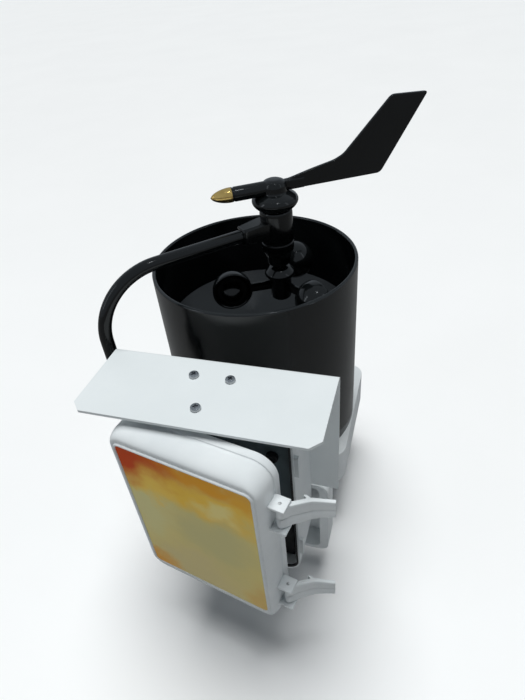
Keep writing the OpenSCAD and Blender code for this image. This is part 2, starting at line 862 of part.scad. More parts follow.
module anemometer_head() {
    color(black) difference() {
        union() {
            at_head() translate([0, 0, head_split]) cylinder(r = neck_r, h = neck_top - head_split);
            at_arm() translate([0, 0, arm_z]) {
                translate([0, -7.5, -7.7]) cube([20, 15, 15.4]);
                translate([19, -6.4, -6.5]) cube([socket_end - 19, 12.8, 13]);
            }
        }
        at_head() {
            translate([0, 0, head_split - 1]) cylinder(r = 9.1, h = neck_top - 8 - head_split);
            cylinder(r = vane_shaft_r + 1, h = neck_top + 1);
            translate([0, 0, neck_top - 5]) cylinder(r = 5, h = 6);
        }
        at_arm() translate([socket_in, 0, arm_z]) rod_x(arm_r, socket_end);
    }
}

module head_lower() {
    color(black) at_head() difference() {
        rotate_extrude() polygon([[0, -5], [8, -5], [9.5, -3], [neck_r - 2.5, 4],
            [neck_r, 9], [neck_r, head_split], [0, head_split]]);
        translate([0, 0, 2]) cylinder(r = 8.6, h = head_split);
        translate([0, 0, -6]) cylinder(r = cup_shaft_r + 0.8, h = 10);
        translate([0, 0, -5.5]) cylinder(r = 4, h = 4);
    }
}

// Two plain bushes: the vane shaft's in the neck and the cup shaft's underneath
module head_bushes() {
    color(brass) at_head() {
        translate([0, 0, neck_top - 5]) difference() {
            cylinder(r = 5, h = 4.6);
            translate([0, 0, -1]) cylinder(r = vane_shaft_r + running, h = 8);
        }
        translate([0, 0, -5]) difference() {
            cylinder(r = 4, h = 3.5);
            translate([0, 0, -1]) cylinder(r = cup_shaft_r + running, h = 8);
        }
    }
}

module direction_sensor() {
    color([0.2, 0.3, 0.5]) at_head() translate([0, 0, head_split + 2]) difference() {
        cylinder(r = 9, h = 14);
        translate([0, 0, 5]) cylinder(r = vane_shaft_r + running, h = 12);
    }
}

module speed_switch() {
    color("darkgreen") at_head() difference() {
        translate([0, 0, 2]) cylinder(r = 8.4, h = 1.6);
        translate([0, 0, 1]) cylinder(r = cup_shaft_r + 1, h = 4);
    }
    color("silver") at_head() translate([4.5, -5, 5]) rod_y(1.2, 10);
}

// ---- vane ----

module vane_shaft() {
    color(steel) at_head() translate([0, 0, head_split + 7.5])
        cylinder(r = vane_shaft_r, h = hub_bottom + 8 - head_split - 7.5);
}

module hub_solid() {
    rotate_extrude() polygon([[0, hub_bottom], [16, hub_bottom], [17.6, hub_bottom + 1.4],
        [18.2, hub_bottom + 3.2], [17.2, hub_bottom + 5.6], [10.4, boom_z - 3.6],
        [9.6, boom_z - 2.4], [9.6, boom_z + 0.5], [8.4, boom_z + 3.6], [5, boom_z + 5.8],
        [0, boom_z + 6.4]]);
}

module vane_hub() {
    color(black) at_vane() difference() {
        hub_solid();
        translate([0, 0, hub_bottom - 1]) cylinder(r = vane_shaft_r, h = 9);
    }
}

module vane_boom() {
    color(black) at_vane() difference() {
        translate([-nose_reach + nose_len, 0, boom_z]) {
            rod_x(boom_r, nose_reach - nose_len);
            translate([-6, 0, 0]) rod_x(2.5, 8);
        }
        hub_solid();
    }
}

// Brass nose weight: a pointed ogive with a blind socket for the boom's spigot
module vane_nose() {
    tip = -nose_reach;
    ogive = [for (i = [0 : 6]) [-nose_len * (1 - i / 6), boom_r * 1.02 * sin(15 * i)]];
    color(brass) at_vane() translate([-nose_reach + nose_len, 0, boom_z]) rotate([0, 90, 0])
        difference() {
            rotate_extrude() polygon(concat([for (p = ogive) [p[1], p[0]]], [[0, 0]]));
            translate([0, 0, -6.2]) cylinder(r = 2.5, h = 7);
        }
}

module fin_outline() {
    k = fin_reach;
    z0 = boom_z - 3.8;
    z1 = boom_z + fin_rise;
    polygon([[0, z0], [k * 0.70, z0], [k * 0.722, z0 + 1.6], [k, z1 - 1.4], [k * 0.762, z1],
        [k * 0.46, boom_z + 15.6], [k * 0.40, boom_z + 12.4], [k * 0.245, boom_z + 8.8],
        [k * 0.107, boom_z + 5], [0, boom_z + 4]]);
}

module vane_fin() {
    color(black) at_vane() difference() {
        union() {
            translate([0, fin_t / 2, 0]) rotate([90, 0, 0]) linear_extrude(fin_t) fin_outline();
            translate([0, -2.6, boom_z - 3.8]) cube([24, 5.2, 8.2]);
        }
        hub_solid();
    }
}

// ---- cups ----

hub_cap_z = -8;
cup_hub_z = -cup_drop - 14;

module cup_shaft() {
    color(steel) at_head() translate([0, 0, cup_hub_z + 6])
        cylinder(r = cup_shaft_r, h = 1.5 - cup_hub_z - 6);
}

module cup_hub() {
    color(black) at_head() difference() {
        rotate_extrude() polygon([[0, cup_hub_z], [6.5, cup_hub_z], [8.6, cup_hub_z + 2],
            [9.3, -cup_drop], [9.3, hub_cap_z - 9], [12, hub_cap_z - 8], [13, hub_cap_z - 6],
            [12.4, hub_cap_z - 4], [8.4, hub_cap_z], [0, hub_cap_z]]);
        translate([0, 0, cup_hub_z + 6]) cylinder(r = cup_shaft_r, h = 50);
        for (i = [0 : 2]) rotate(cup_heading + 120 * i)
            translate([6, -1.3, -cup_drop - 4.1]) cube([9, 2.6, 8.2]);
    }
}

// One cup and its flat arm, pointing along +X, its mouth facing +Y
module cup_blank() {
    translate([cup_arm, 0, -cup_drop]) difference() {
        union() {
            sphere(cup_r);
            translate([0, 0, 0]) rod_y(cup_r, 3);
        }
        sphere(cup_r - cup_wall);
        rod_y(cup_r - cup_wall, 40);
        translate([-cup_r - 5, 3, -cup_r - 5]) cube([2 * cup_r + 10, 40, 2 * cup_r + 10]);
    }
    difference() {
        translate([6, -1.3, -cup_drop - 4.1]) cube([cup_arm - 6 - cup_r + 2, 2.6, 8.2]);
        translate([cup_arm, 0, -cup_drop]) sphere(cup_r - cup_wall / 2);
        translate([cup_arm, 0, -cup_drop]) rod_y(cup_r - cup_wall / 2, 40);
    }
}

module cup(i) {
    color(black) at_head() rotate(cup_heading + 120 * i) cup_blank();
}

module cup_1() {
    cup(0);
}

module cup_2() {
    cup(1);
}

module cup_3() {
    cup(2);
}

collector_bucket();
debris_screen();
collector_base();
drain_screens();
bubble_level();
spoon_cradle();
spoon_pin();
tipping_spoon();
spoon_magnet();
rain_switch();
stop_screws();
mast_socket();
socket_screws();
clamp_bolts();
clamp_nuts();
enclosure_bracket();
bracket_screws();
hood_bracket();
hood_screws();
hood_spacer();
hood_nuts();
plate_screws();
enclosure_tray();
enclosure_seal();
inner_panel();
panel_knobs();
circuit_board();
board_screws();
battery();
battery_terminals();
red_lead();
black_lead();
lead_plug();
cable_gland();
hinge_pins();
enclosure_door();
door_label();
upper_latch();
upper_latch_pin();
lower_latch();
lower_latch_pin();
anemometer_arm();
arm_clamp();
arm_clamp_screws();
anemometer_head();
head_lower();
head_bushes();
direction_sensor();
speed_switch();
vane_shaft();
vane_hub();
vane_boom();
vane_nose();
vane_fin();
cup_shaft();
cup_hub();
cup_1();
cup_2();
cup_3();
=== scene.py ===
import json
from math import cos, pi, radians, sin

import bmesh
import bpy
from mathutils import Matrix, Vector


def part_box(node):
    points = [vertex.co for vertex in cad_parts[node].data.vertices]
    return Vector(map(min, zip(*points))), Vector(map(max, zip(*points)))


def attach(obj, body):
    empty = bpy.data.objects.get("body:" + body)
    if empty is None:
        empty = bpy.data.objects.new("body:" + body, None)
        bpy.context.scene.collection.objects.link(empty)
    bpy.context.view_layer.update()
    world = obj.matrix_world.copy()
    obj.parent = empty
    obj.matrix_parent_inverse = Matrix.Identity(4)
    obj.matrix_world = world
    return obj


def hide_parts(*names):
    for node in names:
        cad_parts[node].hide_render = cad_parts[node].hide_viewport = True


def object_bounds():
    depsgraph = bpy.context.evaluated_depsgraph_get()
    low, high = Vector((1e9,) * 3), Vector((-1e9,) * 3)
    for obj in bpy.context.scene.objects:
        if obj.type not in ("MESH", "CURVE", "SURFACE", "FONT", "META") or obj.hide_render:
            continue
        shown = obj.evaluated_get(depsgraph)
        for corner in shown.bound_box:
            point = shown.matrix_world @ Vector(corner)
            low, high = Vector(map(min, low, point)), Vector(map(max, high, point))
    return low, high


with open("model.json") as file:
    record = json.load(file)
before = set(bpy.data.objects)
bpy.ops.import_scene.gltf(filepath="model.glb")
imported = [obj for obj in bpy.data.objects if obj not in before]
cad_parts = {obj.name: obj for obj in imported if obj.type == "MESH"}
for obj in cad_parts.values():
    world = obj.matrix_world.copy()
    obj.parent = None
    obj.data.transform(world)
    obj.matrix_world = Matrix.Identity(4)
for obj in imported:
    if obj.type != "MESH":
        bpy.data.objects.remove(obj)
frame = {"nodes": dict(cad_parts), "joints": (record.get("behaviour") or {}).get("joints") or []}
cad_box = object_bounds()

# ---- rain collector ----
# A straight-walled bucket moulded in glossy black ABS with the funnel inside it. It stands
# on the base, and a loose perforated screen lies in the funnel's throat.

mm = 0.001


def finish(name, tones, patch, grain, relief, gloss, metal=0.0, coat=0.0, shine=0.5, soft_edge=0.25):
    """Finish whose colour drifts between two tones, with fine grain in relief and uneven gloss;
    its lengths are in mm"""
    made = bpy.data.materials.new(name)
    made.use_nodes = True
    add, wire = made.node_tree.nodes.new, made.node_tree.links.new
    surface = made.node_tree.nodes["Principled BSDF"]
    surface.inputs["Metallic"].default_value = metal
    surface.inputs["Coat Weight"].default_value = coat
    surface.inputs["Specular IOR Level"].default_value = shine
    place = add("ShaderNodeTexCoord").outputs["Object"]
    drift = add("ShaderNodeTexNoise")
    drift.inputs["Scale"].default_value = 1000 / patch
    drift.inputs["Detail"].default_value = 7
    drift.inputs["Roughness"].default_value = 0.6
    wire(place, drift.inputs["Vector"])
    ramp = add("ShaderNodeValToRGB")
    for stop, tone, at in zip(ramp.color_ramp.elements, tones, (0.32, 0.68)):
        stop.color = (*tone, 1)
        stop.position = at
    wire(drift.outputs["Fac"], ramp.inputs["Fac"])
    wire(ramp.outputs["Color"], surface.inputs["Base Color"])
    smear = add("ShaderNodeTexNoise")
    smear.inputs["Scale"].default_value = 3500 / patch
    smear.inputs["Detail"].default_value = 4
    wire(place, smear.inputs["Vector"])
    rough = add("ShaderNodeMapRange")
    for socket, value in zip(("From Min", "From Max", "To Min", "To Max"), (0.3, 0.7, *gloss)):
        rough.inputs[socket].default_value = value
    wire(smear.outputs["Fac"], rough.inputs["Value"])
    wire(rough.outputs["Result"], surface.inputs["Roughness"])
    pebble = add("ShaderNodeTexNoise")
    pebble.inputs["Scale"].default_value = 1000 / grain
    pebble.inputs["Detail"].default_value = 2
    wire(place, pebble.inputs["Vector"])
    edge = add("ShaderNodeBevel")
    edge.samples = 4
    edge.inputs["Radius"].default_value = soft_edge * mm
    bump = add("ShaderNodeBump")
    bump.inputs["Strength"].default_value = 0.6
    bump.inputs["Distance"].default_value = relief * mm
    wire(pebble.outputs["Fac"], bump.inputs["Height"])
    wire(edge.outputs["Normal"], bump.inputs["Normal"])
    wire(bump.outputs["Normal"], surface.inputs["Normal"])
    return made


def give(material, *names):
    """Puts a finish on CAD nodes"""
    for name in names:
        frame["nodes"][name].material_slots[0].material = material


black_gloss = finish("black_gloss", [(0.0022, 0.0028, 0.0030), (0.0045, 0.0055, 0.0060)],
                     60, 2.6, 0.008, (0.08, 0.17), shine=0.38)
black_matt = finish("black_matt", [(0.008, 0.009, 0.010), (0.018, 0.019, 0.020)],
                    25, 0.5, 0.030, (0.42, 0.60), shine=0.3)
collector_black = finish("collector_black", [(0.0024, 0.0032, 0.0035), (0.0052, 0.0068, 0.0074)],
                         70, 3.2, 0.008, (0.13, 0.24), shine=0.5)
give(collector_black, "collector_bucket")
give(black_matt, "debris_screen")

# ---- base and mast socket ----
# White UV-stable mouldings: a shallow tray-like base with two screened drains, and under it
# the split socket that closes on the mast. Their skin is finely pebbled.

white_moulding = finish("white_moulding", [(0.71, 0.745, 0.76), (0.80, 0.83, 0.84)],
                        45, 0.45, 0.025, (0.38, 0.52), soft_edge=0.5)
give(white_moulding, "collector_base", "mast_socket")
give(black_matt, "drain_screens")

bubble = finish("bubble_level_fluid", [(0.30, 0.48, 0.05), (0.42, 0.60, 0.10)],
                10, 1.0, 0.002, (0.05, 0.10), coat=1.0)
give(bubble, "bubble_level")

# ---- tipping spoon ----
# A grey two-sided spoon swings on a steel pin in a black cradle under the spout, against two
# brass stops. A magnet in its keel works a reed switch on a small green board.

spoon_grey = finish("spoon_grey", [(0.30, 0.31, 0.32), (0.36, 0.37, 0.38)],
                    18, 0.4, 0.012, (0.30, 0.45))
steel = finish("brushed_steel", [(0.30, 0.31, 0.32), (0.46, 0.47, 0.48)],
               6, 0.25, 0.010, (0.20, 0.42), metal=1.0, soft_edge=0.12)
brass = finish("turned_brass", [(0.58, 0.38, 0.12), (0.80, 0.56, 0.20)],
               7, 0.5, 0.003, (0.14, 0.26), metal=1.0, soft_edge=0.12)
board_green = finish("board_green", [(0.010, 0.10, 0.045), (0.02, 0.16, 0.07)],
                     12, 0.3, 0.010, (0.25, 0.40), coat=0.4)
give(spoon_grey, "tipping_spoon")
give(black_matt, "spoon_cradle")
give(steel, "spoon_pin", "spoon_magnet")
give(brass, "stop_screws")
give(board_green, "rain_switch")

# ---- bracket behind the enclosure ----
# A white moulded tub, open to the front, screwed to the base's boss. A tongue rises from it
# and carries the hood's back plate.

give(white_moulding, "enclosure_bracket")

# ---- screws and bolts ----
# Stainless pan-head screws with a cross recess hold the sheet metal and the bracket, and two
# socket-head bolts with nuts close the mast socket.


def skin(bm, rings, caps=True):
    """Quads over successive rings of points, closed at both ends where asked"""
    loops = [[bm.verts.new(point) for point in ring] for ring in rings]
    for low, high in zip(loops, loops[1:]):
        for i in range(len(low)):
            j = (i + 1) % len(low)
            bm.faces.new((low[i], low[j], high[j], high[i]))
    if caps:
        bm.faces.new(loops[0][::-1])
        bm.faces.new(loops[-1])


def piece(name, bm, material, body, stands_for, sharp=38):
    """Object from finished mesh code that rides on a body and stands for its CAD nodes"""
    bmesh.ops.remove_doubles(bm, verts=bm.verts, dist=0.005 * mm)
    bmesh.ops.recalc_face_normals(bm, faces=bm.faces)
    mesh = bpy.data.meshes.new(name)
    bm.to_mesh(mesh)
    bm.free()
    for face in mesh.polygons:
        face.use_smooth = True
    mesh.set_sharp_from_angle(angle=radians(sharp))
    made = bpy.data.objects.new(name, mesh)
    bpy.context.scene.collection.objects.link(made)
    made.data.materials.append(material)
    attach(made, body)
    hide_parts(*stands_for)


def circle(radius, z, place, count=48, lobes=0, lobe=0.0):
    """Ring of points in mm on a place's XY plane, scalloped where lobes are asked for"""
    turns = [2 * pi * i / count for i in range(count)]
    reach = [radius + lobe * cos(lobes * t) for t in turns]
    return [place @ (Vector((r * cos(t), r * sin(t), z)) * mm) for r, t in zip(reach, turns)]


def recess(long, wide, z, place, count=48):
    """Ring of points that outlines a driver's cross, or a hexagon where wide is nothing"""
    points = []
    for i in range(count):
        t = 2 * pi * (i + 0.5) / count
        most, least = max(abs(cos(t)), abs(sin(t))), min(abs(cos(t)), abs(sin(t)))
        if wide:
            r = min(long / most, wide / least)
        else:
            r = long / cos((t % (pi / 3)) - pi / 6)
        points.append(place @ (Vector((r * cos(t), r * sin(t), z)) * mm))
    return points


def screw(bm, place, head, tall, shank, length, wide=0.17):
    """Screw along a place's Z: its head above the seat, its shank below"""
    dome = [(shank, -length), (shank, 0), (head * 0.96, 0), (head, tall * 0.16)]
    dome += [(head * (0.80 + 0.20 * cos(radians(a))), tall * (0.25 + 0.7 * sin(radians(a))))
             for a in range(0, 91, 15)]
    rings = [circle(r, z, place) for r, z in dome]
    rings.append(circle(head * 0.66, tall, place))
    drive = head * (0.52 if wide else 0.48)
    for size, depth in ((1.0, 1.0), (0.92, 0.86), (0.84, 0.42)):
        rings.append(recess(drive * size, head * wide * size, tall * depth, place))
    skin(bm, rings)


def facing(x, y, z, towards):
    """Place at a point in mm whose Z axis looks the given way"""
    turn = Vector(towards).to_track_quat("Z", "Y").to_matrix().to_4x4()
    return Matrix.Translation(Vector((x, y, z)) * mm) @ turn


hood_low, hood_high = (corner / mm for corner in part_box("hood_bracket"))
hood_middle = (hood_low.x + hood_high.x) / 2
hood_sheet = 2
pan_r, pan_tall = 3.6, 2.5
bm = bmesh.new()
for along, out, length in ((-13.2, 20, 13.4), (13.2, 20, 13.4), (0, 49.5, 4.9)):
    turn = Matrix.Rotation(radians(25 + 31 * along), 4, "Z")
    place = facing(hood_middle + along, hood_high.y - out, hood_high.z, (0, 0, 1)) @ turn
    screw(bm, place, pan_r, pan_tall, 1.98, length)
piece("hood_pan_screws", bm, steel, "root", ["hood_screws"])

tub_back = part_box("enclosure_bracket")[1].y / mm
tub_wall = 4
screws_aside, screws_up = (-37, 37), (44, 63)
bm = bmesh.new()
for x in screws_aside:
    for z in screws_up:
        screw(bm, facing(x, tub_back - tub_wall, z, (0, -1, 0)), 6, 4, 2.3, 15)
piece("bracket_pan_screws", bm, steel, "root", ["bracket_screws"])

clamp_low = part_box("arm_clamp")[0]
bm = bmesh.new()
for up in (6, 18):
    place = facing(hood_low.x + 10, hood_high.y - hood_sheet, clamp_low.z / mm + up, (0, -1, 0))
    screw(bm, place, pan_r, pan_tall, 1.83, 9)
piece("clamp_pan_screws", bm, steel, "root", ["arm_clamp_screws"])

low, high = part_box("clamp_bolts")
bolt_head_r, bolt_head = 5.5, 4
bm = bmesh.new()
for z in (low.z / mm + bolt_head_r, high.z / mm - bolt_head_r):
    place = facing(high.x / mm - bolt_head, (low.y + high.y) / 2 / mm, z, (1, 0, 0))
    screw(bm, place, bolt_head_r, bolt_head, 2.95, 24, wide=0)
piece("mast_clamp_bolts", bm, steel, "root", ["clamp_bolts"])
give(steel, "socket_screws", "clamp_nuts", "hood_nuts", "plate_screws")

# ---- hood ----
# 2 mm aluminium sheet, cut and bent once at the back, with both front corners trimmed and a
# white powder coat. It sits on a rubber pad over the enclosure.

powder_white = finish("powder_white", [(0.735, 0.775, 0.785), (0.79, 0.825, 0.835)],
                      90, 0.9, 0.012, (0.34, 0.46), soft_edge=0.35)
give(powder_white, "hood_bracket")
give(black_matt, "hood_spacer")

# ---- enclosure ----
# A white polycarbonate box with a rubber seal in its rim. A slate panel on two pairs of
# posts covers the board, and the battery stands below it beside the cable gland.

slate = finish("slate_panel", [(0.105, 0.140, 0.155), (0.140, 0.180, 0.198)],
               40, 0.5, 0.010, (0.30, 0.42))
rubber = finish("seal_rubber", [(0.020, 0.020, 0.021), (0.038, 0.038, 0.040)],
                12, 0.4, 0.020, (0.60, 0.80))
red_pvc = finish("red_pvc", [(0.42, 0.010, 0.010), (0.60, 0.022, 0.018)],
                 8, 0.6, 0.006, (0.22, 0.34))
ivory = finish("ivory_nylon", [(0.58, 0.54, 0.42), (0.68, 0.64, 0.52)],
               8, 0.4, 0.012, (0.40, 0.55))
give(white_moulding, "enclosure_tray")
give(rubber, "enclosure_seal")
give(slate, "inner_panel")
give(board_green, "circuit_board")
give(steel, "board_screws", "hinge_pins")
give(black_matt, "battery", "black_lead", "cable_gland")
give(brass, "battery_terminals")
give(red_pvc, "red_lead")
give(ivory, "lead_plug")

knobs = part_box("panel_knobs")
knob_r = 4.4
bm = bmesh.new()
for x in (knobs[0].x / mm + knob_r, knobs[1].x / mm - knob_r):
    for z in (knobs[0].z / mm + knob_r, knobs[1].z / mm - knob_r):
        place = facing(x, knobs[0].y / mm + 4, z, (0, -1, 0))
        rings = [circle(1.4, -10.8, place, 72), circle(1.4, 0, place, 72)]
        for r, up, cut in ((4.1, 0, 0), (4.25, 0.3, 0.12), (4.25, 3.2, 0.12), (4.0, 3.7, 0.05),
                           (3.4, 4.0, 0), (2.6, 4.0, 0), (2.3, 3.5, 0), (0, 3.4, 0)):
            rings.append(circle(r, up, place, 72, 24, cut))
        skin(bm, rings, caps=False)
piece("panel_thumb_knobs", bm, black_matt, "root", ["panel_knobs"])

# ---- door ----
# A deep white door moulding with a flange, a parting step, a soft rolled front edge and a
# beaded frame round the printed label. It hangs on two pins, here eleven degrees ajar.

door_wide, door_tall = 116, 166
label_wide, label_tall = 99.6, 136.6
label_aside, label_rise = 1.5, 4.0
hinge_out, hinge_behind, door_angle = 4, 0.3, -11
hinge_at = Vector(next(j for j in frame["joints"] if j["name"] == "door_hinge")["pos_m"])
ajar = Matrix.Translation(hinge_at) @ Matrix.Rotation(radians(door_angle), 4, "Z") @ \
    Matrix.Translation(-hinge_at)
door_x = hinge_at.x / mm + hinge_out + door_wide / 2
door_z = hinge_at.z / mm
door_back = hinge_at.y / mm - hinge_behind


def rounded(wide, tall, r, out, lean=0.0, corner=10):
    """Ring round a plate with rounded corners, out from the door's back edge, whose centre
    moves from the door's, at no lean, to the label's, at a lean of one"""
    points = []
    for cx, cz, start in ((1, 1, 0), (-1, 1, 90), (-1, -1, 180), (1, -1, 270)):
        for i in range(corner + 1):
            t = radians(start + 90 * i / corner)
            x = door_x + label_aside * lean + cx * (wide / 2 - r) + r * cos(t)
            z = door_z + label_rise * lean + cz * (tall / 2 - r) + r * sin(t)
            points.append(ajar @ (Vector((x, door_back - out, z)) * mm))
    return points


rings = [rounded(wide, wide + door_tall - door_wide, r, out) for wide, r, out in
         ((107, 9, 19), (108, 10, 18.4), (108, 10, 0.5), (109, 10.5, 0), (115, 14.5, 0),
          (116, 15, 0.5), (116, 15, 5.0), (115.6, 14.8, 5.7), (114.2, 14.2, 6.1), (113.9, 14, 7.2),
          (114.6, 14.4, 8.0), (114.6, 14.4, 12.0))]
roll_steps = 14
for i in range(1, roll_steps + 1):
    turn = radians(90 * i / roll_steps)
    in_by = 1 - cos(turn)
    rings.append(rounded(114.6 - 8.2 * in_by, 164.6 - 19.6 * in_by, 14.4 - 6.9 * in_by,
                         12.0 + 11.7 * sin(turn), in_by))
rings += [rounded(wide, wide + label_tall - label_wide, (wide - 91.8) / 2, out, 1)
          for wide, out in ((104.4, 23.7), (103.9, 24.3), (103.3, 24.8), (102.5, 25), (101.5, 25),
                            (100.7, 24.8), (100.3, 24.3), (100.2, 23.8))]
bm = bmesh.new()
skin(bm, rings)


def block(bm, low, high, place, ease=0.4):
    """Block between two corners in mm with its edges eased"""
    middle = (Vector(low) + Vector(high)) / 2
    size = Vector(high) - Vector(low)
    grow = Matrix.Diagonal((*(size * mm), 1))
    made = bmesh.ops.create_cube(bm, matrix=place @ Matrix.Translation(middle * mm) @ grow)
    edges = list(dict.fromkeys(e for v in made["verts"] for e in v.link_edges))
    bmesh.ops.bevel(bm, geom=edges, offset=ease * mm, segments=2, profile=0.5, affect="EDGES")


latch_joints = [j for j in frame["joints"] if j["name"].endswith("latch_hinge")]
lever_box = {"upper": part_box("upper_latch"), "lower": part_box("lower_latch")}
side_x = door_x + door_wide / 2
latch_out, latch_ahead = 5, 11
latch_x, latch_y = side_x + latch_out, door_back - latch_ahead
ear, ear_half, gap = 2, 5.5, 0.4
for low, high in lever_box.values():
    for bottom in (low.z / mm - gap - ear, high.z / mm + gap):
        block(bm, (side_x - 2, latch_y - ear_half, bottom),
              (latch_x + 5, latch_y + ear_half, bottom + ear), ajar)
pin_hole, knuckle_r, knuckle_half, ease = 1.6, 3.5, 4.6, 0.3
for up in (52, -48):
    place = ajar @ Matrix.Translation(Vector((hinge_at.x / mm, hinge_at.y / mm, door_z + up)) * mm)
    skin(bm, [circle(r, z, place) for r, z in
              ((pin_hole, -knuckle_half), (knuckle_r - ease, -knuckle_half),
               (knuckle_r, ease - knuckle_half), (knuckle_r, knuckle_half - ease),
               (knuckle_r - ease, knuckle_half), (pin_hole, knuckle_half),
               (pin_hole, -knuckle_half))], caps=False)
    block(bm, (0.6, -5, -knuckle_half), (5, -0.5, knuckle_half), place)
piece("door_moulding", bm, white_moulding, "door", ["enclosure_door"])
give(steel, "upper_latch_pin", "lower_latch_pin")

# ---- door label ----
# A printed polyester label in the door's recess: soft clouds of ember, amber and straw, with
# no lettering, under a satin laminate.

label = bpy.data.materials.new("label_print")
label.use_nodes = True
add, wire = label.node_tree.nodes.new, label.node_tree.links.new
surface = label.node_tree.nodes["Principled BSDF"]
surface.inputs["Specular IOR Level"].default_value = 0.08
low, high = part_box("door_label")


def vector_step(operation, first, second):
    """One vector operation on a socket, against a socket or a plain value"""
    made = add("ShaderNodeVectorMath")
    made.operation = operation
    wire(first, made.inputs[0])
    if isinstance(second, (tuple, Vector)):
        made.inputs[1].default_value = second
    else:
        wire(second, made.inputs[1])
    return made.outputs["Value" if operation == "LENGTH" else "Vector"]


place = add("ShaderNodeTexCoord").outputs["Object"]
sheet = vector_step("SUBTRACT", place, low)
sheet = vector_step("DIVIDE", sheet, (high.x - low.x, 1000, high.z - low.z))
clouds = add("ShaderNodeTexNoise")
clouds.inputs["Scale"].default_value = 34
clouds.inputs["Detail"].default_value = 5
wire(place, clouds.inputs["Vector"])
stir = vector_step("SUBTRACT", clouds.outputs["Color"], (0.5, 0.5, 0.5))
stir = vector_step("MULTIPLY", stir, (0.42, 0, 0.42))
sheet = vector_step("ADD", sheet, stir)
print_colour = add("ShaderNodeRGB").outputs[0]
print_colour.default_value = (0.80, 0.66, 0.25, 1)
for u, v, wide, tall, tone in ((0.68, 0.50, 0.36, 0.30, (0.67, 0.60, 0.28)),
                               (0.45, 0.14, 0.50, 0.22, (0.74, 0.62, 0.30)),
                               (0.12, 0.55, 0.30, 0.25, (0.78, 0.71, 0.34)),
                               (0.55, 0.82, 0.80, 0.15, (0.95, 0.60, 0.08)),
                               (0.27, 0.76, 0.22, 0.11, (0.98, 0.66, 0.12)),
                               (0.52, 0.99, 0.85, 0.10, (0.88, 0.40, 0.03)),
                               (0.72, 0.78, 0.15, 0.08, (0.92, 0.76, 0.29)),
                               (0.95, 0.90, 0.14, 0.10, (0.90, 0.46, 0.05)),
                               (0.10, 0.95, 0.42, 0.20, (0.66, 0.072, 0.006)),
                               (0.04, 0.02, 0.26, 0.14, (0.85, 0.42, 0.08)),
                               (0.98, 0.04, 0.18, 0.22, (0.78, 0.54, 0.19))):
    away = vector_step("SUBTRACT", sheet, (u, 0, v))
    away = vector_step("LENGTH", vector_step("DIVIDE", away, (wide, 1, tall)), (0, 0, 0))
    fade = add("ShaderNodeMapRange")
    fade.interpolation_type = "SMOOTHSTEP"
    for socket, value in zip(("From Min", "From Max", "To Min", "To Max"), (0.25, 1.25, 1, 0)):
        fade.inputs[socket].default_value = value
    wire(away, fade.inputs["Value"])
    blot = add("ShaderNodeMix")
    blot.data_type = "RGBA"
    wire(fade.outputs["Result"], blot.inputs["Factor"])
    wire(print_colour, blot.inputs["A"])
    blot.inputs["B"].default_value = (*tone, 1)
    print_colour = blot.outputs["Result"]
wire(print_colour, surface.inputs["Base Color"])
film = add("ShaderNodeTexNoise")
film.inputs["Scale"].default_value = 260
wire(place, film.inputs["Vector"])
rough = add("ShaderNodeMapRange")
rough.inputs["To Min"].default_value = 0.44
rough.inputs["To Max"].default_value = 0.56
wire(film.outputs["Fac"], rough.inputs["Value"])
wire(rough.outputs["Result"], surface.inputs["Roughness"])
bump = add("ShaderNodeBump")
bump.inputs["Distance"].default_value = 0.01 * mm
bump.inputs["Strength"].default_value = 0.5
wire(film.outputs["Fac"], bump.inputs["Height"])
wire(bump.outputs["Normal"], surface.inputs["Normal"])
give(label, "door_label")

# ---- latches ----
# Two white nylon levers swing on steel pins between the door's ears. Each has a split line
# at mid height, a claw for the box's keeper, and a finger end that is set outward and less tall.


def offset_outline(path, widths):
    """Closed outline in mm round a centre line that has these half widths at its points"""
    left, right = [], []
    for i, point in enumerate(path):
        along = (path[min(i + 1, len(path) - 1)] - path[max(i - 1, 0)]).normalized()
        side = Vector((-along.y, along.x)) * widths[i]
        left.append(point + side)
        right.append(point - side)
    return right + left[::-1]


finger_set, lever_angle = 20, -52
knee = Vector((0, 19))
finger = Vector((sin(radians(finger_set)), cos(radians(finger_set))))
path = [Vector((0, y)) for y in (-3.0, -2.6, -1.6, 0, 3, 6, 12, 17)] + [Vector((0.25, 19.4))]
path += [knee + finger * reach for reach in (3.5, 8, 12, 14.3, 14.9)]
widths = [0.5, 1.7, 2.7, 3.05, 2.5, 1.75, 1.6, 1.6, 1.55, 1.45, 1.3, 1.3, 1.4, 1.1]
squat = [1, 1, 1, 1, 1, 0.99, 0.97, 0.94, 0.91, 0.87, 0.81, 0.76, 0.73, 0.70]
for name in ("upper", "lower"):
    low, high = lever_box[name]
    joint = next(j for j in latch_joints if j["name"].startswith(name))
    place = Matrix.Translation(Vector((*joint["pos_m"][:2], low.z))) @ \
        Matrix.Rotation(radians(lever_angle + door_angle), 4, "Z")
    tall = (high.z - low.z) / mm
    bm = bmesh.new()
    rings = []
    for up, pinch in ((0, 0.75), (0.35, 0.94), (0.8, 1.0), (tall * 0.44, 1.0), (tall * 0.46, 0.80),
                      (tall * 0.50, 0.80), (tall * 0.52, 1.0), (tall - 0.8, 1.0),
                      (tall - 0.35, 0.94), (tall, 0.75)):
        outline = offset_outline(path, [w * pinch for w in widths])
        rings.append([place @ (Vector((p.x, p.y, tall - (tall - up) * short)) * mm)
                      for p, short in zip(outline, squat + squat[::-1])])
    skin(bm, rings)
    bend = [Vector(p) for p in ((-1.0, 17.6), (-2.2, 17.3), (-3.3, 16.6), (-3.9, 15.6))]
    claw = offset_outline(bend, [1.3, 0.95, 0.8, 0.5])
    skin(bm, [[place @ (Vector((p.x, p.y, up)) * mm) for p in claw]
              for up in (tall * 0.12, tall - 0.2)])
    piece(name + "_latch_lever", bm, white_moulding, name + "_lever",
          [name + "_latch"], sharp=50)

